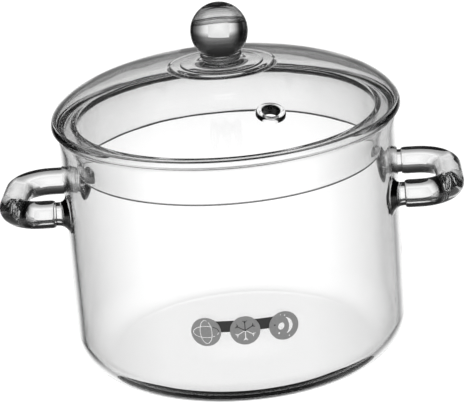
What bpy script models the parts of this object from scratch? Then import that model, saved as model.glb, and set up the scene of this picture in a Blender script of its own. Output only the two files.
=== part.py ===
"""Saucepan with glass lid: a blown borosilicate pot with two fused loop handles and a lift-off domed lid.

Metres, +Z up. The origin is the middle of the ring that the pot stands on, and the handles lie along X.
The front of the pot, where its badges are printed, faces -Y.
"""

from math import asin, cos, exp, pi, radians, sin, sqrt

import bmesh
import bpy
from mathutils import Matrix, Vector

MM = 0.001
UP = Vector((0, 0, 1))
WELD = 0.001 * MM  # points closer than this are one point
FIT_GAP = 0.3 * MM  # left between solids that touch

# Pot
POT_RADIUS = 83.5 * MM
POT_HEIGHT = 123.5 * MM
POT_WALL = 3.1 * MM
POT_FLOOR = 3.0 * MM
POT_CORNER = 17.5 * MM  # outer radius between wall and floor
LIP_RADIUS = 1.7 * MM  # fire-polished bead along the mouth
PUNT_RADIUS = 30.0 * MM  # the raised middle of the floor
PUNT_RISE = 1.2 * MM

# Handles: a horizontal loop of solid rod, each end fused to a foot on the wall
ROD_RADIUS = 6.9 * MM
ARM_SPACING = 50.6 * MM
HANDLE_REACH = 32.2 * MM  # from the wall to the end of the loop
HANDLE_HEIGHT = 85.8 * MM
BEND_RADIUS = 15.4 * MM  # of the rod's centreline
NECK_RADIUS = 5.8 * MM
NECK_LENGTH = 3.0 * MM  # over which the rod swells from neck to full size
FOOT_LENGTH = 6.3 * MM  # from the wall to the neck, along the arm
FOOT_FLARE = 4.2 * MM  # how much wider a foot is at the wall than at its neck

# Lid
LID_OVERHANG = 3.0 * MM  # past the pot's wall
DOME_RISE = 24.8 * MM  # from the widest line of the rim to the crown
DOME_POWER = 0.535
DOME_WALL = 2.8 * MM
CROWN_EXTRA = 2.6 * MM  # more glass under the knob
CROWN_SPREAD = 5.0 * MM
FLANGE_WALL = 2.6 * MM
RIM_ROUND = 2.7 * MM
RIM_RISE = 7.0 * MM  # of the folded rim above the face that rests on the lip
SKIRT_CLEARANCE = 4.5 * MM  # from the skirt to the inside of the lip
SKIRT_WALL = 2.4 * MM
SKIRT_DEPTH = 20.6 * MM  # below the face that rests on the lip
BEND_ROUND = 1.6 * MM  # where dome, flange and skirt turn into each other
UNDER_ROUND = 1.0 * MM  # between the flange's underside and the skirt

# Knob
BALL_RADIUS = 14.2 * MM
BOSS_RADIUS = 20.0 * MM
BOSS_HEIGHT = 0.7 * MM  # above the crown of the dome
BOSS_EDGE = 0.6 * MM
COLLAR_RADIUS = 9.6 * MM
COLLAR_BEVEL = 0.5 * MM
COLLAR_BORE = 3.4 * MM
COLLAR_HEIGHT = 2.3 * MM

# Vent
VENT_FROM_SKIRT = 6.6 * MM  # from the inside of the skirt to the middle of the hole
VENT_TURN = radians(21.7)  # from the front of the pot towards +X
VENT_HOLE_RADIUS = 3.9 * MM
VENT_RING_WIDTH = 3.2 * MM
VENT_RING_HEIGHT = 2.2 * MM

# Printed badges, and the band they are printed over
PRINT_HEIGHT = 42.9 * MM
PRINT_TURN = radians(4.2)  # from the front of the pot towards +X
PRINT_PITCH = 18.6 * MM  # along the wall
PRINT_RADIUS = 7.2 * MM
PRINT_THICKNESS = 0.3 * MM
BAND_RAISED = 2.5 * MM  # above the badges' middle line
BAND_WIDTH = 5.6 * MM
BAND_LENGTH = 31.0 * MM

POT_SIDES = 56
ROD_SIDES = 16
SMALL_SIDES = 32
VENT_SIDES = 24
PRINT_STEPS = 16
BEND_STEPS = 7  # round each corner of a handle, and along each foot

# Sizes that follow from the ones above
POT_INSIDE = POT_RADIUS - POT_WALL
SEAT_Z = POT_HEIGHT + FIT_GAP
LID_RADIUS = POT_RADIUS + LID_OVERHANG
RIM_Z = SEAT_Z + RIM_ROUND
CROWN_Z = RIM_Z + DOME_RISE
SKIRT_RADIUS = POT_RADIUS - 2 * LIP_RADIUS - SKIRT_CLEARANCE
SKIRT_INSIDE = SKIRT_RADIUS - SKIRT_WALL
SKIRT_Z = SEAT_Z - SKIRT_DEPTH
RIM_TOP = SEAT_Z + RIM_RISE
SKIRT_TOP = SEAT_Z - 2 * UNDER_ROUND  # where the skirt leaves the bend under the flange
BOSS_Z = CROWN_Z + FIT_GAP + BOSS_HEIGHT
BALL_Z = BOSS_Z + FIT_GAP + BALL_RADIUS
ARM_Y = ARM_SPACING / 2
WALL_TURN = asin(ARM_Y / POT_RADIUS)  # of the wall behind a foot
NECK_X = POT_RADIUS * cos(WALL_TURN) + FOOT_LENGTH
LOOP_X = POT_RADIUS + HANDLE_REACH - ROD_RADIUS  # the rod's centreline at the end of the loop


def clear_scene():
    for item in list(bpy.data.objects):
        bpy.data.objects.remove(item)


def glass(name, tint):
    """Clear borosilicate glass."""
    material = bpy.data.materials.new(name)
    material.use_nodes = True
    shader = material.node_tree.nodes["Principled BSDF"]
    shader.inputs["Base Color"].default_value = (*tint, 1)
    shader.inputs["Roughness"].default_value = 0.02
    shader.inputs["Metallic"].default_value = 0
    shader.inputs["Transmission Weight"].default_value = 1
    shader.inputs["IOR"].default_value = 1.473
    return material


def enamel(name, colour):
    """Fired-on printing ink, matt and opaque."""
    material = bpy.data.materials.new(name)
    material.use_nodes = True
    shader = material.node_tree.nodes["Principled BSDF"]
    shader.inputs["Base Color"].default_value = (*colour, 1)
    shader.inputs["Roughness"].default_value = 0.45
    shader.inputs["Metallic"].default_value = 0
    return material


def add_object(name, mesh, material, parent=None):
    """Makes an object of a bmesh, shaded smooth apart from its sharp edges."""
    bmesh.ops.recalc_face_normals(mesh, faces=mesh.faces)
    data = bpy.data.meshes.new(name)
    mesh.to_mesh(data)
    mesh.free()
    data.shade_smooth()
    data.set_sharp_from_angle(angle=radians(40))
    item = bpy.data.objects.new(name, data)
    item.parent = parent
    item.data.materials.append(material)
    bpy.context.scene.collection.objects.link(item)
    return item


def turned(outline, sides, ring=False):
    """A solid turned from an (r, z) outline, which runs from axis to axis, or round a ring's section."""
    mesh = bmesh.new()
    points = [mesh.verts.new((r, 0, z)) for r, z in outline]
    following = points[1:] + points[:1] if ring else points[1:]
    edges = [mesh.edges.new(pair) for pair in zip(points, following)]
    bmesh.ops.spin(mesh, geom=points + edges, cent=(0, 0, 0), axis=UP, angle=2 * pi, steps=sides)
    bmesh.ops.remove_doubles(mesh, verts=mesh.verts, dist=WELD)
    return mesh


def arc(centre_r, centre_z, radius, start, end, steps):
    """Points on an arc in the (r, z) plane. Angles are in degrees from +r towards +z."""
    angles = [radians(start + (end - start) * i / steps) for i in range(steps + 1)]
    return [(centre_r + radius * cos(a), centre_z + radius * sin(a)) for a in angles]


def swept(stations, sides):
    """A closed round tube through (centre, direction, radius) stations in a level plane."""
    mesh = bmesh.new()
    rings = []
    for centre, direction, radius in stations:
        across = UP.cross(direction).normalized()
        angles = [2 * pi * i / sides for i in range(sides)]
        ring = [mesh.verts.new(centre + radius * (cos(a) * across + sin(a) * UP)) for a in angles]
        rings.append(ring)
    for near, far in zip(rings, rings[1:]):
        for i in range(sides):
            mesh.faces.new((near[i - 1], near[i], far[i], far[i - 1]))
    mesh.faces.new(rings[0])
    mesh.faces.new(rings[-1])
    return mesh


def cut(item, mesh, name):
    """Subtracts a bmesh from an object with a live Boolean."""
    cutter = add_object(name, mesh, item.data.materials[0])
    cutter.hide_render = True
    cutter.display_type = "WIRE"
    boolean = item.modifiers.new("cut", "BOOLEAN")
    boolean.operation = "DIFFERENCE"
    boolean.solver = "EXACT"
    boolean.object = cutter


# ---- pot ----


def punt_profile(edge_radius, low, high, steps):
    """The floor's raised middle as a smooth swell, from its edge to the axis."""
    points = []
    for i in range(1, steps + 1):
        share = 1 - i / steps
        points.append((edge_radius * share, low + (high - low) * (1 + cos(pi * share)) / 2))
    return points


def pot_outline():
    inner_corner = POT_CORNER - POT_WALL
    floor_z = POT_FLOOR
    lip_r = POT_RADIUS - LIP_RADIUS
    lip_z = POT_HEIGHT - LIP_RADIUS
    under = punt_profile(PUNT_RADIUS, 0, PUNT_RISE, 4)[::-1] + [(PUNT_RADIUS, 0)]
    corner = arc(POT_RADIUS - POT_CORNER, POT_CORNER, POT_CORNER, -90, 0, 6)
    lip = arc(lip_r, lip_z, LIP_RADIUS, 0, 215, 7)
    inside = [(POT_INSIDE, lip_z - 2 * LIP_RADIUS)]
    bend = arc(POT_INSIDE - inner_corner, floor_z + inner_corner, inner_corner, 0, -90, 5)
    floor = [(PUNT_RADIUS, floor_z)] + punt_profile(PUNT_RADIUS, floor_z, floor_z + PUNT_RISE, 4)
    return under + corner + lip + inside + bend + floor


def make_pot():
    material = glass("borosilicate_pot", (0.98, 0.99, 0.99))
    return add_object("pot_body", turned(pot_outline(), POT_SIDES), material)


# ---- handles ----


def rod_stations(side):
    """The U of rod in a level plane: out along the rear arm, round the loop, back along the front arm."""
    corner_x = LOOP_X - BEND_RADIUS
    corner_y = ARM_Y - BEND_RADIUS
    path = []
    for share in (0, 0.25, 0.5, 0.75, 1):
        swell = (1 - cos(pi * share)) / 2
        radius = NECK_RADIUS + (ROD_RADIUS - NECK_RADIUS) * swell
        path.append((NECK_X + FIT_GAP / 2 + share * NECK_LENGTH, ARM_Y, 1, 0, radius))
    for i in range(BEND_STEPS + 1):
        a = pi / 2 * (1 - i / BEND_STEPS)
        x, y = corner_x + BEND_RADIUS * cos(a), corner_y + BEND_RADIUS * sin(a)
        path.append((x, y, sin(a), -cos(a), ROD_RADIUS))
    path += [(x, -y, -dx, dy, radius) for x, y, dx, dy, radius in path[::-1]]
    return [
        (Vector((side * x, side * y, HANDLE_HEIGHT)), Vector((side * dx, side * dy, 0)), radius)
        for x, y, dx, dy, radius in path
    ]


def foot_stations(side, arm):
    """A foot grows out of the wall along its normal, narrows, and turns along the arm to the neck."""
    normal = Vector((cos(WALL_TURN), arm * sin(WALL_TURN), 0))
    start = normal * (POT_RADIUS - 2 * POT_WALL)
    wall = normal * POT_RADIUS
    neck = Vector((NECK_X - FIT_GAP / 2, arm * ARM_Y, 0))
    base_radius = NECK_RADIUS + FOOT_FLARE
    stations = [(start, normal, base_radius)]
    for i in range(BEND_STEPS + 1):
        share = i / BEND_STEPS
        centre = wall.lerp(neck, share)
        direction = normal.lerp(Vector((1, 0, 0)), share)
        near = max(0, 1 - share * FOOT_LENGTH / FOOT_FLARE)
        radius = base_radius - FOOT_FLARE * sqrt(1 - near**2)
        stations.append((centre, direction, radius))
    lift = Vector((0, 0, HANDLE_HEIGHT))
    turn = Matrix.Rotation(0 if side > 0 else pi, 3, "Z")
    return [(turn @ centre + lift, turn @ direction, radius) for centre, direction, radius in stations]


def wall_cutter():
    """The space that the pot's wall takes, with its gap, at the height of the feet."""
    reach = NECK_RADIUS + 2 * FOOT_FLARE
    radius = POT_RADIUS + FIT_GAP
    low, high = HANDLE_HEIGHT - reach, HANDLE_HEIGHT + reach
    return turned([(0, low), (radius, low), (radius, high), (0, high)], POT_SIDES)


def make_handles(pot):
    rod = glass("borosilicate_rod", (0.97, 0.98, 0.98))
    for side, side_name in ((-1, "left"), (1, "right")):
        add_object(f"handle_{side_name}", swept(rod_stations(side), ROD_SIDES), rod, pot)
        for arm, arm_name in ((-side, "front"), (side, "rear")):
            name = f"handle_{side_name}_{arm_name}_foot"
            foot = add_object(name, swept(foot_stations(side, arm), ROD_SIDES), rod, pot)
            cut(foot, wall_cutter(), f"{name}_cutter")


# ---- lid ----


def dome_height(radius):
    """The outer surface of the lid at this distance from the axis."""
    return RIM_Z + DOME_RISE * (1 - (radius / LID_RADIUS) ** 2) ** DOME_POWER


def dome_points(t):
    """The outer and inner point of the dome's wall at parameter t, from 0 at the crown to pi/2 at the rim."""
    r, z = LID_RADIUS * sin(t), RIM_Z + DOME_RISE * cos(t) ** (2 * DOME_POWER)
    run = LID_RADIUS * cos(t)
    fall = DOME_RISE * 2 * DOME_POWER * max(cos(t), 1e-9) ** (2 * DOME_POWER - 1) * sin(t)
    length = sqrt(run**2 + fall**2)
    wall = DOME_WALL + CROWN_EXTRA * exp(-((r / CROWN_SPREAD) ** 2))
    return (r, z), (r - wall * fall / length, z - wall * run / length)


def crossing(points, height):
    """Where a chain of points that only falls passes this height."""
    for (r_above, z_above), (r_below, z_below) in zip(points, points[1:]):
        if z_above >= height > z_below:
            share = (z_above - height) / (z_above - z_below)
            return (r_above + (r_below - r_above) * share, height)


def wall_above(points, height):
    return [p for p in points if p[1] > height] + [crossing(points, height)]


def wall_below(points, height):
    return [crossing(points, height)] + [p for p in points if p[1] < height]


def lid_outlines():
    """The sections of the dome, and of the rim: the wall folded back into a level flange with a bend under it."""
    top = SEAT_Z + FLANGE_WALL
    steps = [pi / 2 * i / 15 for i in range(16)]
    outside = [dome_points(t)[0] for t in steps]
    inside = [p for p in (dome_points(t)[1] for t in steps) if p[1] > top + BEND_ROUND]
    rim = arc(LID_RADIUS - RIM_ROUND, RIM_Z, RIM_ROUND, 0, -90, 4)[1:]
    under = arc(SKIRT_RADIUS + UNDER_ROUND, SEAT_Z - UNDER_ROUND, UNDER_ROUND, 90, 180, 3)
    stub = [(SKIRT_RADIUS, SKIRT_TOP + FIT_GAP), (SKIRT_INSIDE, SKIRT_TOP + FIT_GAP)]
    bend = arc(SKIRT_INSIDE + BEND_ROUND, top - BEND_ROUND, BEND_ROUND, 180, 90, 3)
    pocket = arc(inside[-1][0] - BEND_ROUND, top + BEND_ROUND, BEND_ROUND, -90, 0, 3)
    fold = rim + under + stub + bend + pocket
    folded = wall_below(outside, RIM_TOP) + fold + wall_below(inside, RIM_TOP)[::-1]
    dome_foot = RIM_TOP + FIT_GAP
    dome = wall_above(outside, dome_foot) + wall_above(inside, dome_foot)[::-1]
    dome[0] = (0, dome[0][1])
    dome[-1] = (0, dome[-1][1])
    return dome, folded


def skirt_outline():
    """The section of the skirt: a straight wall with a round lower edge."""
    edge = SKIRT_WALL / 2
    bottom = arc(SKIRT_RADIUS - edge, SKIRT_Z + edge, edge, 0, -180, 4)
    return [(SKIRT_RADIUS, SKIRT_TOP)] + bottom + [(SKIRT_INSIDE, SKIRT_TOP)]


def vent_frame():
    """Where the vent's axis leaves the dome: Z of this frame is the dome's normal there."""
    distance = SKIRT_INSIDE - VENT_FROM_SKIRT
    step = MM / 100
    slope = (dome_height(distance + step) - dome_height(distance - step)) / (2 * step)
    outward = Vector((sin(VENT_TURN), -cos(VENT_TURN), 0))
    normal = (UP - slope * outward).normalized()
    place = outward * distance + UP * dome_height(distance)
    return Matrix.Translation(place) @ UP.rotation_difference(normal).to_matrix().to_4x4()


def make_lid():
    """The lid's pieces hang from an empty on the axis that the lid is lifted along."""
    frame = bpy.data.objects.new("lid", None)
    bpy.context.scene.collection.objects.link(frame)
    dome_glass = glass("borosilicate_lid", (0.98, 0.99, 0.99))
    dome_outline, folded_outline = lid_outlines()
    dome = add_object("lid_dome", turned(dome_outline, POT_SIDES), dome_glass, frame)
    add_object("lid_rim", turned(folded_outline, POT_SIDES, ring=True), dome_glass, frame)
    deep = 4 * DOME_WALL
    hole = [(0, -deep), (VENT_HOLE_RADIUS, -deep), (VENT_HOLE_RADIUS, deep), (0, deep)]
    drill = turned(hole, VENT_SIDES)
    drill.transform(vent_frame())
    cut(dome, drill, "vent_cutter")
    add_object("lid_skirt", turned(skirt_outline(), POT_SIDES, ring=True), dome_glass, frame)
    return frame


def make_vent_ring(lid):
    """A raised bead of glass round the vent hole."""
    half = VENT_RING_WIDTH / 2
    tall = VENT_RING_HEIGHT / 2
    middle = VENT_HOLE_RADIUS + half
    angles = [2 * pi * i / 10 for i in range(10)]
    section = [(middle + half * cos(a), FIT_GAP + tall + tall * sin(a)) for a in angles]
    ring = turned(section, VENT_SIDES, ring=True)
    ring.transform(vent_frame())
    add_object("vent_ring", ring, glass("vent_bead", (0.97, 0.98, 0.98)), lid)


def make_knob(lid):
    clear = glass("knob_glass", (0.96, 0.97, 0.98))
    steps = [i / 5 for i in range(6)]
    under = [(BOSS_RADIUS * s, dome_height(BOSS_RADIUS * s) + FIT_GAP) for s in steps]
    edge_z = under[-1][1] + BOSS_EDGE
    top = []
    for s in steps:
        r = BOSS_RADIUS + (COLLAR_RADIUS - BOSS_RADIUS) * s
        top.append((r, edge_z + (BOSS_Z - edge_z) * s**2))
    boss = under + top + [(0, BOSS_Z)]
    add_object("knob_boss", turned(boss, SMALL_SIDES), clear, lid)

    base = BOSS_Z + FIT_GAP
    cup = BALL_RADIUS + FIT_GAP
    lip = COLLAR_RADIUS - COLLAR_HEIGHT / 4
    seat_radii = [lip + (COLLAR_BORE - lip) * s for s in steps]
    seat = [(r, BALL_Z - sqrt(cup**2 - r**2)) for r in seat_radii]
    side = [(COLLAR_BORE, base), (COLLAR_RADIUS - COLLAR_BEVEL, base)]
    side += [(COLLAR_RADIUS, base + COLLAR_BEVEL), (COLLAR_RADIUS, base + COLLAR_HEIGHT)]
    add_object("knob_collar", turned(side + seat, SMALL_SIDES, ring=True), clear, lid)

    ball = bmesh.new()
    place = Matrix.Translation((0, 0, BALL_Z))
    bmesh.ops.create_uvsphere(
        ball, u_segments=SMALL_SIDES, v_segments=SMALL_SIDES // 2, radius=BALL_RADIUS, matrix=place
    )
    add_object("knob_ball", ball, clear, lid)


# ---- printed badges ----


def on_wall(columns, inner, height):
    """A thin patch that follows the pot's wall, from (distance along the wall, low, high) columns."""
    mesh = bmesh.new()
    outer = inner + PRINT_THICKNESS
    rows = []
    for along, low, high in columns:
        turn = PRINT_TURN + along / POT_RADIUS
        outward = Vector((sin(turn), -cos(turn), 0))
        corners = ((inner, low), (inner, high), (outer, high), (outer, low))
        rows.append([mesh.verts.new(outward * radius + UP * (height + up)) for radius, up in corners])
    for near, far in zip(rows, rows[1:]):
        for i in range(4):
            mesh.faces.new((near[i - 1], near[i], far[i], far[i - 1]))
    mesh.faces.new(rows[0])
    mesh.faces.new(rows[-1])
    bmesh.ops.remove_doubles(mesh, verts=mesh.verts, dist=WELD)
    return mesh


def badge_columns(middle):
    """A round badge, in columns that are closest together at its two sides."""
    angles = [pi * i / PRINT_STEPS for i in range(PRINT_STEPS + 1)]
    return [(middle - PRINT_RADIUS * cos(a), -PRINT_RADIUS * sin(a), PRINT_RADIUS * sin(a)) for a in angles]


def band_columns():
    steps = [BAND_LENGTH * (i / PRINT_STEPS - 0.5) for i in range(PRINT_STEPS + 1)]
    return [(along, -BAND_WIDTH / 2, BAND_WIDTH / 2) for along in steps]


def make_prints(pot):
    """The band lies on the wall, and the three badges are printed over it."""
    grey = enamel("badge_enamel", (0.25, 0.25, 0.25))
    dark = enamel("band_enamel", (0.05, 0.05, 0.05))
    band_inner = POT_RADIUS + FIT_GAP
    badge_inner = band_inner + PRINT_THICKNESS + FIT_GAP
    band = on_wall(band_columns(), band_inner, PRINT_HEIGHT + BAND_RAISED)
    add_object("print_band", band, dark, pot)
    for place, name in ((-1, "rings"), (0, "snowflake"), (1, "moon")):
        badge = on_wall(badge_columns(place * PRINT_PITCH), badge_inner, PRINT_HEIGHT)
        add_object(f"print_{name}", badge, grey, pot)


clear_scene()
pot = make_pot()
make_handles(pot)
make_prints(pot)
lid = make_lid()
make_vent_ring(lid)
make_knob(lid)
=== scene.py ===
"""The looks of the saucepan with glass lid: a blown borosilicate pot with two fused loop handles,
a domed lid with a ball knob and a vent, and three badges fired on the front of the pot.

Metres, +Z up. The pot stands on the origin, its handles lie along X and its badges face -Y.
"""

from math import asin, copysign, cos, exp, pi, radians, sin, sqrt, tan

import bmesh
import bpy
from mathutils import Matrix, Vector


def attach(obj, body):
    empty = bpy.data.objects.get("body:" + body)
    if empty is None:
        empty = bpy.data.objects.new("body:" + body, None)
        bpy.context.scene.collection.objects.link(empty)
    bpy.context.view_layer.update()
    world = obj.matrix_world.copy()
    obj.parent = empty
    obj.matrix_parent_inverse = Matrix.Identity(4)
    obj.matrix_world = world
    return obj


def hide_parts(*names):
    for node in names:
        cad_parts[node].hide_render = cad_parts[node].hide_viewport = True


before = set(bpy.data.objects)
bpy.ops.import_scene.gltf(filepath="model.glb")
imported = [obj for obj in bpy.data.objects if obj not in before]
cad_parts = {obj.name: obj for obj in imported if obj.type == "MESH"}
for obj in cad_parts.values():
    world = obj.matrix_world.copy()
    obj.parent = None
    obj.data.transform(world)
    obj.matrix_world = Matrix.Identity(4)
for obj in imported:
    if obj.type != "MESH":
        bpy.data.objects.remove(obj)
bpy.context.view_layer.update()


# ---- studio ----
# A bright-field set-up for clear glass: a table top that glows, pale walls from just under the horizon
# down, and dark above and far below, which draws the dark outlines of rods, rims and corners.


def linear(colour, alpha=1.0):
    """A linear colour from an sRGB hex value."""
    channels = [int(colour[i : i + 2], 16) / 255 for i in (1, 3, 5)]
    return (*[c / 12.92 if c <= 0.04045 else ((c + 0.055) / 1.055) ** 2.4 for c in channels], alpha)


def add_node(tree, kind, settings=None, links=None):
    """Adds a node, with its properties and socket values, and the sockets that feed it."""
    node = tree.nodes.new(kind)
    for name, value in (settings or {}).items():
        if isinstance(name, str) and hasattr(node, name):
            setattr(node, name, value)
        else:
            node.inputs[name].default_value = value
    for name, socket in (links or {}).items():
        tree.links.new(socket, node.inputs[name])
    return node


scene = bpy.context.scene
scene.view_settings.view_transform = "Standard"
scene.cycles.max_bounces = 32
scene.cycles.transmission_bounces = 32
scene.cycles.glossy_bounces = 12
scene.cycles.volume_bounces = 0

ROOM_GLOW = 1.25
STUDIO_LEVELS = (  # degrees above the horizon, and how bright the room is there
    (-90, 0.02),
    (-70, 0.03),
    (-58, 0.30),
    (-44, 0.45),
    (-35, 0.95),
    (-13, 0.95),
    (-6, 0.20),
    (5, 0.05),
    (25, 0.02),
    (70, 0.02),
    (90, 0.20),
)

world = bpy.data.worlds.new("Studio walls")
scene.world = world
world.use_nodes = True
walls = world.node_tree
walls.nodes.clear()
direction = add_node(walls, "ShaderNodeTexCoord")
level = add_node(walls, "ShaderNodeSeparateXYZ", links={"Vector": direction.outputs["Generated"]})
share = add_node(
    walls,
    "ShaderNodeMapRange",
    {"From Min": -1.0, "From Max": 1.0},
    {"Value": level.outputs["Z"]},
)
brightness = add_node(walls, "ShaderNodeValToRGB", links={"Fac": share.outputs["Result"]})
stops = brightness.color_ramp.elements
while len(stops) < len(STUDIO_LEVELS):
    stops.new(0.5)
for stop, (height, shade) in zip(stops, STUDIO_LEVELS):
    stop.position = (1 + sin(radians(height))) / 2
    stop.color = (shade, shade, shade, 1)
glow = add_node(
    walls, "ShaderNodeBackground", {"Strength": ROOM_GLOW}, {"Color": brightness.outputs["Color"]}
)
add_node(walls, "ShaderNodeOutputWorld", links={"Surface": glow.outputs["Background"]})

FLOOR_SIZE = 12.0
TABLE_GLOW = 1.15

floor_mesh = bpy.data.meshes.new("studio_floor")
half = FLOOR_SIZE / 2
floor_mesh.from_pydata(
    [(-half, -half, 0), (half, -half, 0), (half, half, 0), (-half, half, 0)], [], [(0, 1, 2, 3)]
)
studio_floor = bpy.data.objects.new("studio_floor", floor_mesh)
scene.collection.objects.link(studio_floor)
pale_table = bpy.data.materials.new("lit acrylic table")
pale_table.use_nodes = True
pale_table.node_tree.nodes.clear()
table_light = add_node(
    pale_table.node_tree, "ShaderNodeEmission", {"Color": linear("#ffffff"), "Strength": TABLE_GLOW}
)
add_node(
    pale_table.node_tree,
    "ShaderNodeOutputMaterial",
    links={"Surface": table_light.outputs["Emission"]},
)
floor_mesh.materials.append(pale_table)
studio_floor.visible_transmission = False
studio_floor.visible_glossy = False

# ---- camera ----
# A long lens in front of the pot, a little to its right and looking down on it.

CAMERA_DISTANCE = 1.1214
CAMERA_RISE = radians(23.32)
CAMERA_TURN = radians(3.4)  # from the front of the pot towards +X
AIM_RIGHT = radians(0.09)  # where the lens points, from the origin
AIM_UP = radians(3.734)
CAMERA_ROLL = radians(-4.525)

towards = Vector(
    (cos(CAMERA_RISE) * sin(CAMERA_TURN), -cos(CAMERA_RISE) * cos(CAMERA_TURN), sin(CAMERA_RISE))
)
right = (-towards).cross(Vector((0, 0, 1))).normalized()
above = right.cross(-towards)
aim = (-towards + tan(AIM_RIGHT) * right + tan(AIM_UP) * above).normalized()
right = aim.cross(above).normalized()
above = right.cross(aim)
tilt = Matrix((right, above, -aim)).transposed() @ Matrix.Rotation(CAMERA_ROLL, 3, "Z")

lens = bpy.data.cameras.new("camera")
lens.lens = 166.0
lens.sensor_width = 36.0
camera = bpy.data.objects.new("camera", lens)
scene.collection.objects.link(camera)
camera.matrix_world = Matrix.Translation(towards * CAMERA_DISTANCE) @ tilt.to_4x4()
scene.camera = camera

# The bright card stands far behind the pot, square to the lens, and is just wider than what the lens sees.
CARD_DISTANCE = 8.0
CARD_HALF = 1.75
CARD_SOFT = 0.95  # the share of its half width over which its light fades towards the border
CARD_GLOW = (1.2, 1.0)  # in the middle, and at the border

card_mesh = bpy.data.meshes.new("bright_card")
corners = [(x * CARD_HALF, y * CARD_HALF, 0) for x, y in ((-1, -1), (1, -1), (1, 1), (-1, 1))]
card_mesh.from_pydata(corners, [], [(0, 1, 2, 3)])
bright_card = bpy.data.objects.new("bright_card", card_mesh)
scene.collection.objects.link(bright_card)
bright_card.parent = camera
bright_card.location = (0, 0, -CARD_DISTANCE)
card_light = bpy.data.materials.new("lit diffuser cloth")
card_light.use_nodes = True
cloth = card_light.node_tree
cloth.nodes.clear()
where = add_node(cloth, "ShaderNodeTexCoord")
on_card = add_node(cloth, "ShaderNodeSeparateXYZ", links={"Vector": where.outputs["Object"]})
aside = add_node(cloth, "ShaderNodeMath", {"operation": "ABSOLUTE"}, {0: on_card.outputs["X"]})
upright = add_node(cloth, "ShaderNodeMath", {"operation": "ABSOLUTE"}, {0: on_card.outputs["Y"]})
outmost = add_node(
    cloth, "ShaderNodeMath", {"operation": "MAXIMUM"}, {0: aside.outputs[0], 1: upright.outputs[0]}
)
fade = add_node(
    cloth,
    "ShaderNodeMapRange",
    {
        "interpolation_type": "SMOOTHSTEP",
        "From Min": CARD_HALF * (1 - CARD_SOFT),
        "From Max": CARD_HALF,
        "To Min": CARD_GLOW[0],
        "To Max": CARD_GLOW[1],
    },
    {"Value": outmost.outputs[0]},
)
card_glow = add_node(
    cloth, "ShaderNodeEmission", {"Color": linear("#ffffff")}, {"Strength": fade.outputs["Result"]}
)
add_node(cloth, "ShaderNodeOutputMaterial", links={"Surface": card_glow.outputs["Emission"]})
card_mesh.materials.append(card_light)

# Four gauzes, thick in the middle and thin at the border, darken what glass bends aside: two stand behind
# the pot at the sides of the card, and two hang left and right of the pot and draw the edges of round glass.
GAUZE_SOLID = 0.2  # the share of a gauze, from its middle, where it is thickest
GAUZES = (  # name, place from the lens, turn about the upright, half width, half height, light let through
    ("gauze_left", (-2.2, 0, -4.0), 0, 1.6, 3.0, 0.03),
    ("gauze_right", (2.2, 0, -4.0), 0, 1.6, 3.0, 0.30),
    ("curtain_left", (-3.0, 0, -2.4), 90, 4.0, 5.0, 0.03),
    ("curtain_right", (3.0, 0, -2.4), 90, 4.0, 5.0, 0.01),
)
for gauze_name, gauze_place, gauze_turn, wide, tall, lets_through in GAUZES:
    gauze_mesh = bpy.data.meshes.new(gauze_name)
    corners = [(x * wide, y * tall, 0) for x, y in ((-1, -1), (1, -1), (1, 1), (-1, 1))]
    gauze_mesh.from_pydata(corners, [], [(0, 1, 2, 3)])
    cloth_grey = bpy.data.materials.new(f"{gauze_name} cloth")
    cloth_grey.use_nodes = True
    cloth = cloth_grey.node_tree
    cloth.nodes.clear()
    where = add_node(cloth, "ShaderNodeTexCoord")
    in_middle = add_node(
        cloth, "ShaderNodeMapping", {"Scale": (1 / wide, 1 / tall, 1)}, {"Vector": where.outputs["Object"]}
    )
    spread = add_node(
        cloth, "ShaderNodeVectorMath", {"operation": "LENGTH"}, {0: in_middle.outputs["Vector"]}
    )
    thin = add_node(
        cloth,
        "ShaderNodeMapRange",
        {
            "interpolation_type": "SMOOTHSTEP",
            "From Min": GAUZE_SOLID,
            "From Max": 1.0,
            "To Min": lets_through,
            "To Max": 1.0,
        },
        {"Value": spread.outputs["Value"]},
    )
    through = add_node(cloth, "ShaderNodeBsdfTransparent", links={"Color": thin.outputs["Result"]})
    add_node(cloth, "ShaderNodeOutputMaterial", links={"Surface": through.outputs["BSDF"]})
    gauze_mesh.materials.append(cloth_grey)
    gauze = bpy.data.objects.new(gauze_name, gauze_mesh)
    scene.collection.objects.link(gauze)
    gauze.parent = camera
    gauze.location = gauze_place
    gauze.rotation_euler = (0, radians(gauze_turn), 0)
    gauze.visible_camera = False
    gauze.visible_diffuse = False
    gauze.visible_shadow = False

# The table top is seen through, and under it hangs a black card that paints shade: it is seen only through
# glass, and is far enough down that only the pot's round bottom corner,
# which bends light steeply, shows it: as a painted dark line round the base.
SHADE_CARD_RADIUS = 0.25
SHADE_CARD_DROP = 0.2
shade_card_mesh = bpy.data.meshes.new("painted_shade_card")
shade_card_angles = [pi * i / 32 for i in range(64)]
shade_card_edge = [(SHADE_CARD_RADIUS * cos(a), SHADE_CARD_RADIUS * sin(a), 0) for a in shade_card_angles]
shade_card_mesh.from_pydata(shade_card_edge, [], [range(64)])
shade_card_black = bpy.data.materials.new("black shade card")
shade_card_black.use_nodes = True
shade_card_shader = shade_card_black.node_tree.nodes["Principled BSDF"]
shade_card_shader.inputs["Base Color"].default_value = linear("#0c0c0c")
shade_card_shader.inputs["Roughness"].default_value = 1.0
shade_card_mesh.materials.append(shade_card_black)
# Seen only through glass, this black sheet paints shade: the dark line round the pot's base.
painted_shade_card = bpy.data.objects.new("painted_shade_card", shade_card_mesh)
scene.collection.objects.link(painted_shade_card)
painted_shade_card.location = (0, 0, -SHADE_CARD_DROP)
painted_shade_card.visible_camera = False
painted_shade_card.visible_diffuse = False
painted_shade_card.visible_glossy = False
painted_shade_card.visible_shadow = False

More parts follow.
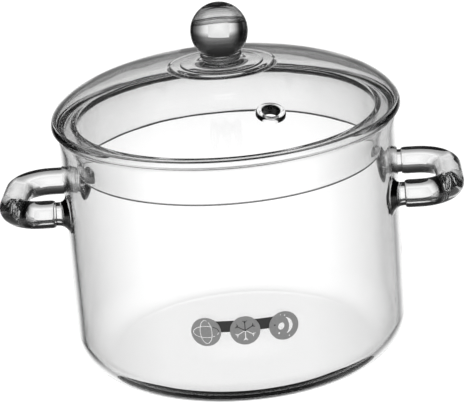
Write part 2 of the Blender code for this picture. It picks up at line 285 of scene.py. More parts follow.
softbox = bpy.data.lights.new("softbox", "AREA")
softbox.shape = "RECTANGLE"
softbox.size = 1.4
softbox.size_y = 1.0
softbox.energy = 10
box_object = bpy.data.objects.new("softbox", softbox)
scene.collection.objects.link(box_object)
box_object.visible_transmission = False
box_object.visible_glossy = False
box_place = Vector((-1.1, -1.5, 1.9))
facing = box_place.to_track_quat("Z", "Y").to_matrix().to_4x4()
box_object.matrix_world = Matrix.Translation(box_place) @ facing

# ---- pot and handles ----
# The pot is one bubble of borosilicate glass blown in a mould, with a fire-polished lip and a floor that is
# pushed up in the middle. Each handle is a loop of solid rod, its two hot ends pressed onto the wall.

MM = 0.001
POT_RADIUS = 83.5 * MM
POT_HEIGHT = 123.5 * MM
POT_WALL = 3.1 * MM
POT_FLOOR = 3.0 * MM
POT_CORNER = 17.5 * MM
LIP_RADIUS = 1.7 * MM
PUNT_RADIUS = 30.0 * MM
PUNT_RISE = 1.2 * MM
POT_SIDES = 256

ROD_RADIUS = 6.9 * MM
ARM_Y = 25.3 * MM  # from the middle of the pot to the middle of each arm
HANDLE_REACH = 32.2 * MM
HANDLE_HEIGHT = 85.8 * MM
BEND_RADIUS = 15.4 * MM
NECK_RADIUS = 5.8 * MM
NECK_LENGTH = 3.0 * MM
FOOT_LENGTH = 6.3 * MM
FOOT_FLARE = 4.2 * MM
FOOT_SINK = 0.07 * MM  # how far the flare carries on below the wall's surface
ROOT_DEPTH = 0.8 * MM  # how far a foot reaches into the wall
ROOT_SPREAD = 0.4 * MM
SETTLES_WITHIN = 6.0 * MM  # of the wall, sections are bent to its curve
RUN_DOWN = 0.22  # how much further the lower half of a foot runs, as a share
ROD_SIDES = 56


def arc(centre, radius, start, end, steps):
    """Points on an arc of an (r, z) outline. Angles are in degrees from +r towards +z."""
    angles = [radians(start + (end - start) * i / steps) for i in range(steps + 1)]
    return [(centre[0] + radius * cos(a), centre[1] + radius * sin(a)) for a in angles]


def run(start, end, steps):
    """Points on a straight line of an outline, without its two ends."""
    shares = [i / steps for i in range(1, steps)]
    return [(start[0] + (end[0] - start[0]) * s, start[1] + (end[1] - start[1]) * s) for s in shares]


def set_input(modifier, name, value):
    """Sets an input of a Geometry Nodes modifier by its socket's identifier."""
    modifier[modifier.node_group.interface.items_tree[name].identifier] = value


def new_tree(name, inputs):
    """An empty Geometry Nodes tree with its inputs, and the node that gives them."""
    tree = bpy.data.node_groups.new(name, "GeometryNodeTree")
    tree.is_modifier = True
    tree.interface.new_socket("Geometry", in_out="INPUT", socket_type="NodeSocketGeometry")
    for label, kind in inputs:
        tree.interface.new_socket(label, in_out="INPUT", socket_type=kind)
    tree.interface.new_socket("Geometry", in_out="OUTPUT", socket_type="NodeSocketGeometry")
    return tree, tree.nodes.new("NodeGroupInput")


def end_tree(tree, given, geometry):
    """Ends a tree: its instances made real, its material set."""
    real = add_node(tree, "GeometryNodeRealizeInstances", links={"Geometry": geometry})
    coated = add_node(
        tree,
        "GeometryNodeSetMaterial",
        links={"Geometry": real.outputs["Geometry"], "Material": given.outputs["Material"]},
    )
    add_node(tree, "NodeGroupOutput", links={"Geometry": coated.outputs["Geometry"]})


# A lathe: it turns an outline, which lies in the XZ plane, about Z.
lathe, given = new_tree(
    "Lathe", (("Sides", "NodeSocketInt"), ("Material", "NodeSocketMaterial"))
)
count = add_node(
    lathe, "GeometryNodeAttributeDomainSize", links={"Geometry": given.outputs["Geometry"]}
)
columns = add_node(
    lathe, "ShaderNodeMath", {"operation": "ADD", 1: 1.0}, {0: given.outputs["Sides"]}
)
sheet = add_node(
    lathe,
    "GeometryNodeMeshGrid",
    {"Size X": 1.0, "Size Y": 1.0},
    {"Vertices X": columns.outputs[0], "Vertices Y": count.outputs["Point Count"]},
)
place = add_node(lathe, "GeometryNodeInputPosition")
on_sheet = add_node(lathe, "ShaderNodeSeparateXYZ", links={"Vector": place.outputs["Position"]})
last = add_node(
    lathe, "ShaderNodeMath", {"operation": "SUBTRACT", 1: 1.0}, {0: count.outputs["Point Count"]}
)
along = add_node(lathe, "ShaderNodeMath", {"operation": "ADD", 1: 0.5}, {0: on_sheet.outputs["Y"]})
step = add_node(
    lathe, "ShaderNodeMath", {"operation": "MULTIPLY"}, {0: along.outputs[0], 1: last.outputs[0]}
)
nearest = add_node(lathe, "ShaderNodeMath", {"operation": "ROUND"}, {0: step.outputs[0]})
on_outline = add_node(
    lathe,
    "GeometryNodeSampleIndex",
    {"data_type": "FLOAT_VECTOR", "domain": "POINT"},
    {
        "Geometry": given.outputs["Geometry"],
        "Value": place.outputs["Position"],
        "Index": nearest.outputs[0],
    },
)
turn = add_node(lathe, "ShaderNodeMath", {"operation": "MULTIPLY", 1: 2 * pi}, {0: on_sheet.outputs["X"]})
turned = add_node(
    lathe,
    "ShaderNodeVectorRotate",
    {"rotation_type": "Z_AXIS"},
    {"Vector": on_outline.outputs["Value"], "Angle": turn.outputs[0]},
)
placed = add_node(
    lathe,
    "GeometryNodeSetPosition",
    links={"Geometry": sheet.outputs["Mesh"], "Position": turned.outputs["Vector"]},
)
closed = add_node(
    lathe, "GeometryNodeMergeByDistance", {"Distance": 0.002 * MM}, {"Geometry": placed.outputs["Geometry"]}
)
end_tree(lathe, given, closed.outputs["Geometry"])

# A rod drawn along a path, with the radius that each point of the path has. Where it nears the wall, its
# sections are bent to the wall's curve, and below the middle they run down the wall.
rod_draw, given = new_tree(
    "Drawn rod",
    (
        ("Sides", "NodeSocketInt"),
        ("Wall radius", "NodeSocketFloat"),
        ("Wall turn", "NodeSocketFloat"),
        ("Settles within", "NodeSocketFloat"),
        ("Height", "NodeSocketFloat"),
        ("Run down", "NodeSocketFloat"),
        ("Material", "NodeSocketMaterial"),
    ),
)
section = add_node(
    rod_draw, "GeometryNodeCurvePrimitiveCircle", {"Radius": 1.0}, {"Resolution": given.outputs["Sides"]}
)
thickness = add_node(rod_draw, "GeometryNodeInputRadius")
tube = add_node(
    rod_draw,
    "GeometryNodeCurveToMesh",
    {"Fill Caps": True},
    {
        "Curve": given.outputs["Geometry"],
        "Profile Curve": section.outputs["Curve"],
        "Scale": thickness.outputs["Radius"],
    },
)
place = add_node(rod_draw, "GeometryNodeInputPosition")
xyz = add_node(rod_draw, "ShaderNodeSeparateXYZ", links={"Vector": place.outputs["Position"]})
size_x = add_node(rod_draw, "ShaderNodeMath", {"operation": "ABSOLUTE"}, {0: xyz.outputs["X"]})
size_y = add_node(rod_draw, "ShaderNodeMath", {"operation": "ABSOLUTE"}, {0: xyz.outputs["Y"]})
cosine = add_node(rod_draw, "ShaderNodeMath", {"operation": "COSINE"}, {0: given.outputs["Wall turn"]})
sine = add_node(rod_draw, "ShaderNodeMath", {"operation": "SINE"}, {0: given.outputs["Wall turn"]})
out_x = add_node(
    rod_draw, "ShaderNodeMath", {"operation": "MULTIPLY"}, {0: size_x.outputs[0], 1: cosine.outputs[0]}
)
out_from_wall = add_node(
    rod_draw,
    "ShaderNodeMath",
    {"operation": "MULTIPLY_ADD"},
    {0: size_y.outputs[0], 1: sine.outputs[0], 2: out_x.outputs[0]},
)
flat = add_node(rod_draw, "ShaderNodeCombineXYZ", links={"X": xyz.outputs["X"], "Y": xyz.outputs["Y"]})
from_axis = add_node(
    rod_draw, "ShaderNodeVectorMath", {"operation": "LENGTH"}, {0: flat.outputs["Vector"]}
)
off_wall = add_node(
    rod_draw,
    "ShaderNodeMath",
    {"operation": "SUBTRACT"},
    {0: out_from_wall.outputs[0], 1: given.outputs["Wall radius"]},
)
near = add_node(
    rod_draw,
    "ShaderNodeMapRange",
    {"interpolation_type": "SMOOTHSTEP", "From Min": 0.0, "To Min": 1.0, "To Max": 0.0},
    {"Value": off_wall.outputs[0], "From Max": given.outputs["Settles within"]},
)
wanted = add_node(
    rod_draw,
    "ShaderNodeMix",
    {"data_type": "FLOAT"},
    {"Factor": near.outputs["Result"], "A": from_axis.outputs["Value"], "B": out_from_wall.outputs[0]},
)
stretch = add_node(
    rod_draw,
    "ShaderNodeMath",
    {"operation": "DIVIDE"},
    {0: wanted.outputs[0], 1: from_axis.outputs["Value"]},
)
settled = add_node(
    rod_draw,
    "ShaderNodeVectorMath",
    {"operation": "SCALE"},
    {0: flat.outputs["Vector"], "Scale": stretch.outputs[0]},
)
over_middle = add_node(
    rod_draw, "ShaderNodeMath", {"operation": "SUBTRACT"}, {0: xyz.outputs["Z"], 1: given.outputs["Height"]}
)
under_middle = add_node(
    rod_draw, "ShaderNodeMath", {"operation": "MINIMUM", 1: 0.0}, {0: over_middle.outputs[0]}
)
down = add_node(
    rod_draw,
    "ShaderNodeMath",
    {"operation": "MULTIPLY"},
    {0: near.outputs["Result"], 1: given.outputs["Run down"]},
)
lower = add_node(
    rod_draw,
    "ShaderNodeMath",
    {"operation": "MULTIPLY_ADD"},
    {0: down.outputs[0], 1: under_middle.outputs[0], 2: xyz.outputs["Z"]},
)
settled_xyz = add_node(rod_draw, "ShaderNodeSeparateXYZ", links={"Vector": settled.outputs["Vector"]})
new_place = add_node(
    rod_draw,
    "ShaderNodeCombineXYZ",
    links={"X": settled_xyz.outputs["X"], "Y": settled_xyz.outputs["Y"], "Z": lower.outputs[0]},
)
pressed = add_node(
    rod_draw,
    "GeometryNodeSetPosition",
    links={"Geometry": tube.outputs["Mesh"], "Position": new_place.outputs["Vector"]},
)
end_tree(rod_draw, given, pressed.outputs["Geometry"])


def outline_mesh(name, points):
    """An outline of (r, z) points as a chain of edges in the XZ plane."""
    mesh = bpy.data.meshes.new(name)
    chain = [(i, i + 1) for i in range(len(points) - 1)]
    mesh.from_pydata([(r, 0, z) for r, z in points], chain, [])
    return mesh


def make_plain(name, source, tree, material, sizes):
    """Runs a Geometry Nodes tree on a mesh or curve and gives back its result as a plain mesh object."""
    item = bpy.data.objects.new(f"{name}_source", source)
    scene.collection.objects.link(item)
    modifier = item.modifiers.new(tree.name, "NODES")
    modifier.node_group = tree
    set_input(modifier, "Material", material)
    for label, value in sizes.items():
        set_input(modifier, label, value)
    ready = item.evaluated_get(bpy.context.evaluated_depsgraph_get())
    made = bpy.data.objects.new(name, bpy.data.meshes.new_from_object(ready))
    scene.collection.objects.link(made)
    bpy.data.objects.remove(item)
    return made


def fuse(item, others, operation="UNION"):
    """Joins or cuts solids exactly, and removes the ones that were used up."""
    for other in others:
        modifier = item.modifiers.new("fuse", "BOOLEAN")
        modifier.operation = operation
        modifier.solver = "EXACT"
        modifier.object = other
    ready = item.evaluated_get(bpy.context.evaluated_depsgraph_get())
    joined = bpy.data.meshes.new_from_object(ready)
    item.modifiers.clear()
    item.data = joined
    for other in others:
        bpy.data.objects.remove(other)


def polish(item, sharp=32):
    """Merges doubles, turns every face outwards and smooths all but the sharp edges."""
    mesh = bmesh.new()
    mesh.from_mesh(item.data)
    bmesh.ops.remove_doubles(mesh, verts=mesh.verts, dist=0.002 * MM)
    bmesh.ops.dissolve_degenerate(mesh, edges=mesh.edges, dist=0.001 * MM)
    bmesh.ops.recalc_face_normals(mesh, faces=mesh.faces)
    mesh.to_mesh(item.data)
    mesh.free()
    item.data.shade_smooth()
    item.data.set_sharp_from_angle(angle=radians(sharp))
    item.data.name = item.name


def clear_glass(name, wave, wave_size, tint, density):
    """Borosilicate: colourless, IOR 1.473, with the faint waves that blowing and flame polishing leave."""
    material = bpy.data.materials.new(name)
    material.use_nodes = True
    tree = material.node_tree
    tree.nodes.clear()
    where = add_node(tree, "ShaderNodeTexCoord")
    long_waves = add_node(
        tree,
        "ShaderNodeTexNoise",
        {"Scale": 1 / wave_size, "Detail": 1.5, "Roughness": 0.45},
        {"Vector": where.outputs["Object"]},
    )
    waves = add_node(
        tree,
        "ShaderNodeBump",
        {"Strength": 1.0, "Distance": wave},
        {"Height": long_waves.outputs["Fac"]},
    )
    shader = add_node(
        tree,
        "ShaderNodeBsdfPrincipled",
        {
            "Base Color": linear("#ffffff"),
            "Roughness": 0.0,
            "IOR": 1.473,
            "Transmission Weight": 1.0,
        },
        {"Normal": waves.outputs["Normal"]},
    )
    inside = add_node(
        tree, "ShaderNodeVolumeAbsorption", {"Color": linear(tint), "Density": density}
    )
    add_node(
        tree,
        "ShaderNodeOutputMaterial",
        links={"Surface": shader.outputs["BSDF"], "Volume": inside.outputs["Volume"]},
    )
    return material


GLASS_TINT = "#909292"
GLASS_DENSITY = 11.0  # per metre: thick rods look a little grey, the walls hardly so
pot_glass = clear_glass("blown borosilicate glass", 0.05 * MM, 22 * MM, GLASS_TINT, GLASS_DENSITY)


def punt(edge_radius, low, high, steps):
    """The floor's raised middle as a smooth swell, from its edge to the axis."""
    shares = [1 - i / steps for i in range(1, steps + 1)]
    return [(edge_radius * s, low + (high - low) * (1 + cos(pi * s)) / 2) for s in shares]


pot_inside = POT_RADIUS - POT_WALL
inner_corner = POT_CORNER - POT_WALL
lip = (POT_RADIUS - LIP_RADIUS, POT_HEIGHT - LIP_RADIUS)
under = punt(PUNT_RADIUS, 0, PUNT_RISE, 24)[::-1] + [(PUNT_RADIUS, 0)]
under += run((PUNT_RADIUS, 0), (POT_RADIUS - POT_CORNER, 0), 8)
corner = arc((POT_RADIUS - POT_CORNER, POT_CORNER), POT_CORNER, -90, 0, 24)
outer_wall = run(corner[-1], (POT_RADIUS, lip[1]), 40)
lip_bead = arc(lip, LIP_RADIUS, 0, 205, 20)
wall_top = (pot_inside, lip[1] - 2 * LIP_RADIUS)
inner_wall = run(wall_top, (pot_inside, POT_FLOOR + inner_corner), 40)
inner_bend = arc((pot_inside - inner_corner, POT_FLOOR + inner_corner), inner_corner, 0, -90, 24)
pot_floor = run(inner_bend[-1], (PUNT_RADIUS, POT_FLOOR), 8) + [(PUNT_RADIUS, POT_FLOOR)]
pot_floor += punt(PUNT_RADIUS, POT_FLOOR, POT_FLOOR + PUNT_RISE, 24)
pot_outline = under + corner + outer_wall + lip_bead + [wall_top] + inner_wall + inner_bend + pot_floor

pot = make_plain(
    "pot", outline_mesh("pot_outline", pot_outline), lathe, pot_glass, {"Sides": POT_SIDES}
)

wall_turn = asin(ARM_Y / POT_RADIUS)
neck_x = POT_RADIUS * cos(wall_turn) + FOOT_LENGTH
loop_x = POT_RADIUS + HANDLE_REACH - ROD_RADIUS


def handle_path():
    """Half of the U that a handle makes, as (x, y, radius) from the wall to the middle of the loop."""
    path = []
    bend_start = Vector((neck_x - FOOT_LENGTH / 2, ARM_Y))
    wall_point = bend_start - Vector((cos(wall_turn), sin(wall_turn))) * FOOT_LENGTH / 2
    neck = Vector((neck_x, ARM_Y))
    steps = 26
    for i in range(steps + 1):
        s = (i / steps) ** 1.6
        centre = wall_point.lerp(bend_start, s).lerp(bend_start.lerp(neck, s), s)
        deep = s * FOOT_LENGTH
        left_over = max(0, 1 - (deep + FOOT_SINK) / FOOT_FLARE)
        path.append((centre.x, centre.y, NECK_RADIUS + FOOT_FLARE * (1 - sqrt(1 - left_over**2))))
    first = path[0]
    inward = Vector((cos(wall_turn), sin(wall_turn))) * ROOT_DEPTH
    path.insert(0, (first[0] - inward.x, first[1] - inward.y, first[2] + ROOT_SPREAD))
    for i in range(1, 11):
        swell = sqrt(1 - (1 - i / 10) ** 2)
        swollen = NECK_RADIUS + (ROD_RADIUS - NECK_RADIUS) * swell
        path.append((neck_x + NECK_LENGTH * (i / 10) ** 1.5, ARM_Y, swollen))
    corner_x, corner_y = loop_x - BEND_RADIUS, ARM_Y - BEND_RADIUS
    for i in range(29):
        a = pi / 2 * (1 - i / 28)
        x, y = corner_x + BEND_RADIUS * cos(a), corner_y + BEND_RADIUS * sin(a)
        if x > neck_x + NECK_LENGTH + 0.2 * MM:
            path.append((x, y, ROD_RADIUS))
    return path


half_path = handle_path()
handles = []
for side, side_name in ((-1, "left"), (1, "right")):
    whole = half_path + [(x, -y, radius) for x, y, radius in half_path[::-1]]
    line = bpy.data.curves.new(f"handle_{side_name}_path", "CURVE")
    line.dimensions = "3D"
    spline = line.splines.new("POLY")
    spline.points.add(len(whole) - 1)
    for point, (x, y, radius) in zip(spline.points, whole):
        point.co = (side * x, side * y, HANDLE_HEIGHT, 1)
        point.radius = radius
    rod_sizes = {
        "Sides": ROD_SIDES,
        "Wall radius": POT_RADIUS,
        "Wall turn": wall_turn,
        "Settles within": SETTLES_WITHIN,
        "Height": HANDLE_HEIGHT,
        "Run down": RUN_DOWN,
    }
    rod = make_plain(f"rod_{side_name}", line, rod_draw, pot_glass, rod_sizes)
    polish(rod)
    handles.append(rod)

polish(pot)
fuse(pot, handles)
polish(pot)
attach(pot, "pot")
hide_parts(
    "pot_body",
    "handle_left",
    "handle_left_front_foot",
    "handle_left_rear_foot",
    "handle_right",
    "handle_right_front_foot",
    "handle_right_rear_foot",
)

# ---- lid ----
# The lid is pressed and then folded back at the rim, so that a skirt hangs inside the pot's lip. Its ball
# knob is a solid gather of the same glass, fused on over a low boss. A raised bead rings the steam vent.

LID_OVERHANG = 3.0 * MM
DOME_RISE = 24.8 * MM
DOME_POWER = 0.535
DOME_WALL = 2.8 * MM
CROWN_EXTRA = 2.6 * MM
CROWN_SPREAD = 5.0 * MM
FLANGE_WALL = 2.6 * MM
RIM_ROUND = 2.7 * MM
SKIRT_CLEARANCE = 4.5 * MM
SKIRT_WALL = 2.4 * MM
SKIRT_DEPTH = 20.6 * MM
BEND_ROUND = 1.6 * MM
UNDER_ROUND = 1.0 * MM
SEAT_GAP = 0.3 * MM
BALL_RADIUS = 14.2 * MM
BOSS_RADIUS = 20.0 * MM
BOSS_EDGE = 0.7 * MM
HALO_RADIUS = 25.8 * MM  # where the glass that was gathered for the boss runs out on the dome
HALO_RISE = 0.22 * MM
COLLAR_RADIUS = 9.6 * MM
COLLAR_RING = 0.95 * MM
BALL_Z = 166.8 * MM
VENT_FROM_SKIRT = 6.6 * MM
VENT_TURN = radians(21.7)
VENT_HOLE_RADIUS = 3.9 * MM
VENT_RING_WIDTH = 3.2 * MM
VENT_RING_HEIGHT = 2.0 * MM

seat_z = POT_HEIGHT + SEAT_GAP
lid_radius = POT_RADIUS + LID_OVERHANG
rim_z = seat_z + RIM_ROUND
skirt_radius = POT_RADIUS - 2 * LIP_RADIUS - SKIRT_CLEARANCE
skirt_inside = skirt_radius - SKIRT_WALL
skirt_z = seat_z - SKIRT_DEPTH


def dome_height(radius):
    """The outer surface of the lid at this distance from the axis."""
    return rim_z + DOME_RISE * (1 - (radius / lid_radius) ** 2) ** DOME_POWER


def dome_points(t):
    """The outer and inner point of the dome's wall at parameter t, from 0 at the crown to pi/2 at the rim."""
    r, z = lid_radius * sin(t), rim_z + DOME_RISE * cos(t) ** (2 * DOME_POWER)
    flat_run = lid_radius * cos(t)
    fall = DOME_RISE * 2 * DOME_POWER * max(cos(t), 1e-9) ** (2 * DOME_POWER - 1) * sin(t)
    length = sqrt(flat_run**2 + fall**2)
    wall = DOME_WALL + CROWN_EXTRA * exp(-((r / CROWN_SPREAD) ** 2))
    return (r, z), (r - wall * fall / length, z - wall * flat_run / length)


def knob_outline():
    """The ball from its top to its neck, the two rings of the collar, and the flat boss down to the dome."""
    ball = arc((0, BALL_Z), BALL_RADIUS, 90, -50, 60)
    ring = COLLAR_RING
    collar_z = ball[-1][1] - 0.9 * ring
    collar = arc((ball[-1][0] + 0.25 * ring, collar_z), ring, 68, -62, 10)
    collar += arc((COLLAR_RADIUS - ring, collar_z - 1.9 * ring), ring, 62, -78, 10)
    start = (COLLAR_RADIUS + 0.3 * MM, collar[-1][1] - 0.12 * MM)
    boss = []
    for i in range(13):
        share = i / 12
        r = start[0] + (BOSS_RADIUS - start[0]) * share
        rise = BOSS_EDGE + (start[1] - dome_height(start[0]) - BOSS_EDGE) * (1 - share) ** 6
        boss.append((r, dome_height(r) + rise))
    round_edge = BOSS_EDGE / 2
    boss += arc((BOSS_RADIUS, boss[-1][1] - round_edge), round_edge, 70, 0, 5)
    boss += [(BOSS_RADIUS + 1.4 * round_edge, dome_height(BOSS_RADIUS) + 0.2 * MM)]
    for share in (0.1, 0.3, 0.5, 0.7, 0.85, 0.93, 0.97, 1.0):
        r = BOSS_RADIUS + 1 * MM + (HALO_RADIUS - BOSS_RADIUS - 1 * MM) * share
        fade_out = 1 - max(0, (share - 0.8) / 0.2) ** 2
        boss.append((r, dome_height(r) + HALO_RISE * fade_out))
    return ball + collar + boss


top = seat_z + FLANGE_WALL
edge = SKIRT_WALL / 2
parameters = [pi / 2 * i / 72 for i in range(73)]
dome_outside = [p for p in (dome_points(t)[0] for t in parameters) if p[0] > HALO_RADIUS + 0.5 * MM]
dome_inside = [p for p in (dome_points(t)[1] for t in parameters) if p[1] > top + BEND_ROUND]
rim = arc((lid_radius - RIM_ROUND, rim_z), RIM_ROUND, 0, -90, 12)[1:]
seat = run(rim[-1], (skirt_radius + UNDER_ROUND, seat_z), 4)
seat_bend = arc((skirt_radius + UNDER_ROUND, seat_z - UNDER_ROUND), UNDER_ROUND, 90, 180, 8)
skirt_end = arc((skirt_radius - edge, skirt_z + edge), edge, 0, -180, 12)
skirt_out = run(seat_bend[-1], skirt_end[0], 8)
fold = arc((skirt_inside + BEND_ROUND, top - BEND_ROUND), BEND_ROUND, 180, 90, 8)
skirt_in = run(skirt_end[-1], fold[0], 8)
pocket = arc((dome_inside[-1][0] - BEND_ROUND, top + BEND_ROUND), BEND_ROUND, -90, 0, 8)
lid_outline = knob_outline() + dome_outside + rim + seat + seat_bend + skirt_out + skirt_end
lid_outline += skirt_in + fold + pocket + dome_inside[::-1]
lid_outline[0] = (0, lid_outline[0][1])
lid_outline[-1] = (0, lid_outline[-1][1])

lid_glass = clear_glass("pressed borosilicate glass", 0.06 * MM, 26 * MM, GLASS_TINT, GLASS_DENSITY)
lid = make_plain(
    "lid", outline_mesh("lid_outline", lid_outline), lathe, lid_glass, {"Sides": POT_SIDES}
)
polish(lid)


def vent_frame():
    """Where the vent's axis leaves the dome: Z of this frame is the dome's normal there."""
    distance = skirt_inside - VENT_FROM_SKIRT
    little = MM / 100
    slope = (dome_height(distance + little) - dome_height(distance - little)) / (2 * little)
    outward = Vector((sin(VENT_TURN), -cos(VENT_TURN), 0))
    normal = (Vector((0, 0, 1)) - slope * outward).normalized()
    centre = outward * distance + Vector((0, 0, dome_height(distance)))
    return Matrix.Translation(centre) @ Vector((0, 0, 1)).rotation_difference(normal).to_matrix().to_4x4()


half_width = VENT_RING_WIDTH / 2
middle = VENT_HOLE_RADIUS + half_width
bead_angles = [2 * pi * i / 48 for i in range(49)]
bead_outline = []
for a in bead_angles:
    across = copysign(sqrt(abs(cos(a))), cos(a))  # squarer than an oval: the bead has a flat top
    upward = copysign(sqrt(abs(sin(a))), sin(a))
    bead_outline.append((middle + half_width * across, VENT_RING_HEIGHT * upward))
vent_bead = make_plain(
    "vent_bead", outline_mesh("bead_outline", bead_outline), lathe, lid_glass, {"Sides": 96}
)
deep = 4 * DOME_WALL
drill_radius = VENT_HOLE_RADIUS + 0.06 * MM
drill_outline = [(0, -deep), (drill_radius, -deep), (drill_radius, deep), (0, deep)]
drill = make_plain(
    "vent_drill", outline_mesh("drill_outline", drill_outline), lathe, lid_glass, {"Sides": 96}
)
for tool in (vent_bead, drill):
    tool.data.transform(vent_frame())
    polish(tool)
fuse(lid, [vent_bead])
fuse(lid, [drill], "DIFFERENCE")
polish(lid)
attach(lid, "lid")
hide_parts("lid_dome", "lid_rim", "lid_skirt", "vent_ring", "knob_boss", "knob_collar", "knob_ball")

# ---- printed badges ----
# Three round badges are screen printed in grey ceramic ink over one dark band and fired onto the wall. Their
# signs are left clear, so the dark band or the glass shows through them.

PRINT_HEIGHT = 42.9 * MM
PRINT_TURN = radians(4.2)
PRINT_PITCH = 18.6 * MM
PRINT_RADIUS = 7.2 * MM
INK_THICKNESS = 0.12 * MM
BAND_RAISED = 2.5 * MM
BAND_WIDTH = 5.6 * MM
BAND_LENGTH = 31.0 * MM
INK_GAP = 0.03 * MM
STROKE = 0.42 * MM


def fired_ink(name, colour, light_colour):
    """Ceramic ink: a matt, opaque glass frit with fine grain and small pinholes of lighter tone."""
    material = bpy.data.materials.new(name)
    material.use_nodes = True
    tree = material.node_tree
    tree.nodes.clear()
    where = add_node(tree, "ShaderNodeTexCoord")
    grain = add_node(
        tree,
        "ShaderNodeTexNoise",
        {"Scale": 1 / (0.6 * MM), "Detail": 3.0, "Roughness": 0.6},
        {"Vector": where.outputs["Object"]},
    )
    tone = add_node(tree, "ShaderNodeValToRGB", links={"Fac": grain.outputs["Fac"]})
    tone.color_ramp.elements[0].position = 0.3
    tone.color_ramp.elements[0].color = linear(colour)
    tone.color_ramp.elements[1].position = 0.75
    tone.color_ramp.elements[1].color = linear(light_colour)
    rough = add_node(
        tree, "ShaderNodeMapRange", {"To Min": 0.42, "To Max": 0.62}, {"Value": grain.outputs["Fac"]}
    )
    tooth = add_node(
        tree,
        "ShaderNodeBump",
        {"Strength": 0.4, "Distance": 0.02 * MM},
        {"Height": grain.outputs["Fac"]},
    )
    shader = add_node(
        tree,
        "ShaderNodeBsdfPrincipled",
        {"IOR": 1.5},
        {
            "Base Color": tone.outputs["Color"],
            "Roughness": rough.outputs["Result"],
            "Normal": tooth.outputs["Normal"],
        },
    )
    add_node(tree, "ShaderNodeOutputMaterial", links={"Surface": shader.outputs["BSDF"]})
    return material


badge_ink = fired_ink("fired grey ceramic ink", "#999999", "#acacac")
band_ink = fired_ink("fired dark ceramic ink", "#2b2b2b", "#3c3c3c")


def slab(outline, low, high):
    """A flat solid with this closed outline in the XY plane."""
    mesh = bmesh.new()
    face = mesh.faces.new([mesh.verts.new((x, y, low)) for x, y in outline])
    raised = bmesh.ops.extrude_face_region(mesh, geom=[face])["geom"]
    corners = [v for v in raised if isinstance(v, bmesh.types.BMVert)]
    bmesh.ops.translate(mesh, verts=corners, vec=(0, 0, high - low))
    bmesh.ops.recalc_face_normals(mesh, faces=mesh.faces)
    data = bpy.data.meshes.new("slab")
    mesh.to_mesh(data)
    mesh.free()
    item = bpy.data.objects.new("slab", data)
    scene.collection.objects.link(item)
    return item


def ring_of(radius, steps, centre=(0, 0)):
    angles = [2 * pi * i / steps for i in range(steps)]
    return [(centre[0] + radius * cos(a), centre[1] + radius * sin(a)) for a in angles]


def stroke(points, width):
    """The outline of a line of even width through these points."""
    left, other = [], []
    for i, (x, y) in enumerate(points):
        before, after = points[max(i - 1, 0)], points[min(i + 1, len(points) - 1)]
        heading = Vector((after[0] - before[0], after[1] - before[1])).normalized() * width / 2
        left.append((x - heading.y, y + heading.x))
        other.append((x + heading.y, y - heading.x))
    return left + other[::-1]


def oval(width, height, turn, start, end, steps=48):
    """Points on an oval that is turned, between two angles in degrees."""
    points = []
    for i in range(steps + 1):
        a = radians(start + (end - start) * i / steps)
        x, y = width * cos(a), height * sin(a)
        c, s = cos(radians(turn)), sin(radians(turn))
        points.append((c * x - s * y, s * x + c * y))
    return points


def ring_signs():
    tall = oval(2.8 * MM, 5.9 * MM, 3, 70, 415)
    wide = oval(6.1 * MM, 2.9 * MM, 0, -30, 312)
    return [stroke(tall, STROKE * 0.8), stroke(wide, STROKE * 0.8)]


def snowflake_signs():
    signs = []
    for i in range(6):
        a = radians(90 + 60 * i)
        along, across = Vector((cos(a), sin(a))), Vector((-sin(a), cos(a)))
        tip = along * 4.9 * MM
        fork = along * 3.9 * MM
        signs.append(stroke([tuple(along * 0.5 * MM), tuple(tip)], STROKE))
        for way in (-1, 1):
            tine = tip + across * way * 1.0 * MM + along * 0.1 * MM
            signs.append(stroke([tuple(fork - along * 0.05 * MM), tuple(tine)], STROKE * 0.85))
    signs.append(ring_of(0.55 * MM, 16))
    return signs


def moon_signs():
    outer = [(4.0 * MM * cos(radians(a)), 4.2 * MM * sin(radians(a))) for a in range(-75, 76, 5)]
    inner = [(2.3 * MM * cos(radians(a)) - 0.1 * MM, 4.2 * MM * sin(radians(a))) for a in range(75, -76, -5)]
    crescent = [(x + 0.3 * MM, y) for x, y in outer + inner[1:-1]]
    flame = oval(1.5 * MM, 1.9 * MM, -25, 0, 352, 12)
    flame = [(x - 1.3 * MM, y - 0.1 * MM) for x, y in flame]
    dots = ((-4.4, 0.9, 0.42), (0.6, 5.2, 0.3), (-1.3, 5.6, 0.26), (2.3, -5.4, 0.32), (-2.6, -3.5, 0.5))
    return [crescent, flame] + [ring_of(r * MM, 12, (x * MM, y * MM)) for x, y, r in dots]


# This tree bends a flat print, which lies in the XY plane, round the pot's wall.
wrap, given = new_tree(
    "Print on the wall",
    (
        ("Wall radius", "NodeSocketFloat"),
        ("Turn", "NodeSocketFloat"),
        ("Along", "NodeSocketFloat"),
        ("Height", "NodeSocketFloat"),
        ("Material", "NodeSocketMaterial"),
    ),
)
place = add_node(wrap, "GeometryNodeInputPosition")
flat = add_node(wrap, "ShaderNodeSeparateXYZ", links={"Vector": place.outputs["Position"]})
along = add_node(
    wrap, "ShaderNodeMath", {"operation": "ADD"}, {0: flat.outputs["X"], 1: given.outputs["Along"]}
)
bent = add_node(
    wrap, "ShaderNodeMath", {"operation": "DIVIDE"}, {0: along.outputs[0], 1: given.outputs["Wall radius"]}
)
angle = add_node(wrap, "ShaderNodeMath", {"operation": "ADD"}, {0: bent.outputs[0], 1: given.outputs["Turn"]})
out = add_node(
    wrap, "ShaderNodeMath", {"operation": "ADD"}, {0: flat.outputs["Z"], 1: given.outputs["Wall radius"]}
)
inwards = add_node(wrap, "ShaderNodeMath", {"operation": "MULTIPLY", 1: -1.0}, {0: out.outputs[0]})
up = add_node(
    wrap, "ShaderNodeMath", {"operation": "ADD"}, {0: flat.outputs["Y"], 1: given.outputs["Height"]}
)
front = add_node(wrap, "ShaderNodeCombineXYZ", links={"Y": inwards.outputs[0], "Z": up.outputs[0]})
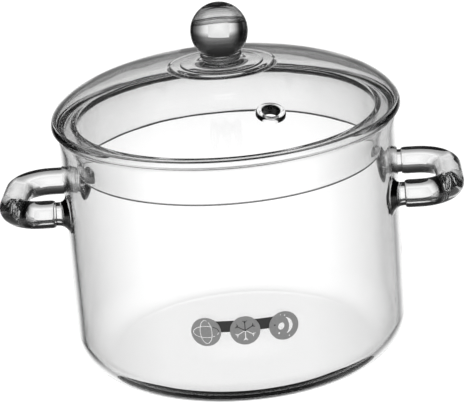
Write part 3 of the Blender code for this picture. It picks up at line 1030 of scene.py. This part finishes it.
round_wall = add_node(
    wrap,
    "ShaderNodeVectorRotate",
    {"rotation_type": "Z_AXIS"},
    {"Vector": front.outputs["Vector"], "Angle": angle.outputs[0]},
)
wrapped = add_node(
    wrap,
    "GeometryNodeSetPosition",
    links={"Geometry": given.outputs["Geometry"], "Position": round_wall.outputs["Vector"]},
)
end_tree(wrap, given, wrapped.outputs["Geometry"])


def print_on_wall(name, flat_print, inner, along, height, ink):
    """Cuts a flat print into narrow strips, so that it bends evenly, and wraps it round the wall."""
    mesh = bmesh.new()
    mesh.from_mesh(flat_print.data)
    reach = max(abs(v.co.x) for v in mesh.verts)
    strips = int(2 * reach / (0.8 * MM))
    for i in range(1, strips):
        parts = mesh.verts[:] + mesh.edges[:] + mesh.faces[:]
        cut_x = reach * (2 * i / strips - 1)
        bmesh.ops.bisect_plane(mesh, geom=parts, plane_co=(cut_x, 0, 0), plane_no=(1, 0, 0))
    bmesh.ops.triangulate(mesh, faces=mesh.faces)
    data = bpy.data.meshes.new(name)
    mesh.to_mesh(data)
    mesh.free()
    bpy.data.objects.remove(flat_print)
    sizes = {"Wall radius": inner, "Turn": PRINT_TURN, "Along": along, "Height": height}
    made = make_plain(name, data, wrap, ink, sizes)
    polish(made)
    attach(made, "pot")
    return made


half_band = BAND_LENGTH / 2
band_outline = [
    (-half_band, -BAND_WIDTH / 2),
    (half_band, -BAND_WIDTH / 2),
    (half_band, BAND_WIDTH / 2),
    (-half_band, BAND_WIDTH / 2),
]
band_inner = POT_RADIUS + INK_GAP
band_print = print_on_wall(
    "dark_band",
    slab(band_outline, 0, INK_THICKNESS),
    band_inner,
    0,
    PRINT_HEIGHT + BAND_RAISED,
    band_ink,
)
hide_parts("print_band")

badge_inner = band_inner + INK_THICKNESS + INK_GAP
for place_along, name, signs in (
    (-1, "rings", ring_signs()),
    (0, "snowflake", snowflake_signs()),
    (1, "moon", moon_signs()),
):
    disc = slab(ring_of(PRINT_RADIUS, 96), 0, INK_THICKNESS)
    for sign in signs:
        fuse(disc, [slab(sign, -INK_THICKNESS, 2 * INK_THICKNESS)], "DIFFERENCE")
    badge = print_on_wall(
        f"badge_{name}", disc, badge_inner, place_along * PRINT_PITCH, PRINT_HEIGHT, badge_ink
    )
    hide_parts(f"print_{name}")
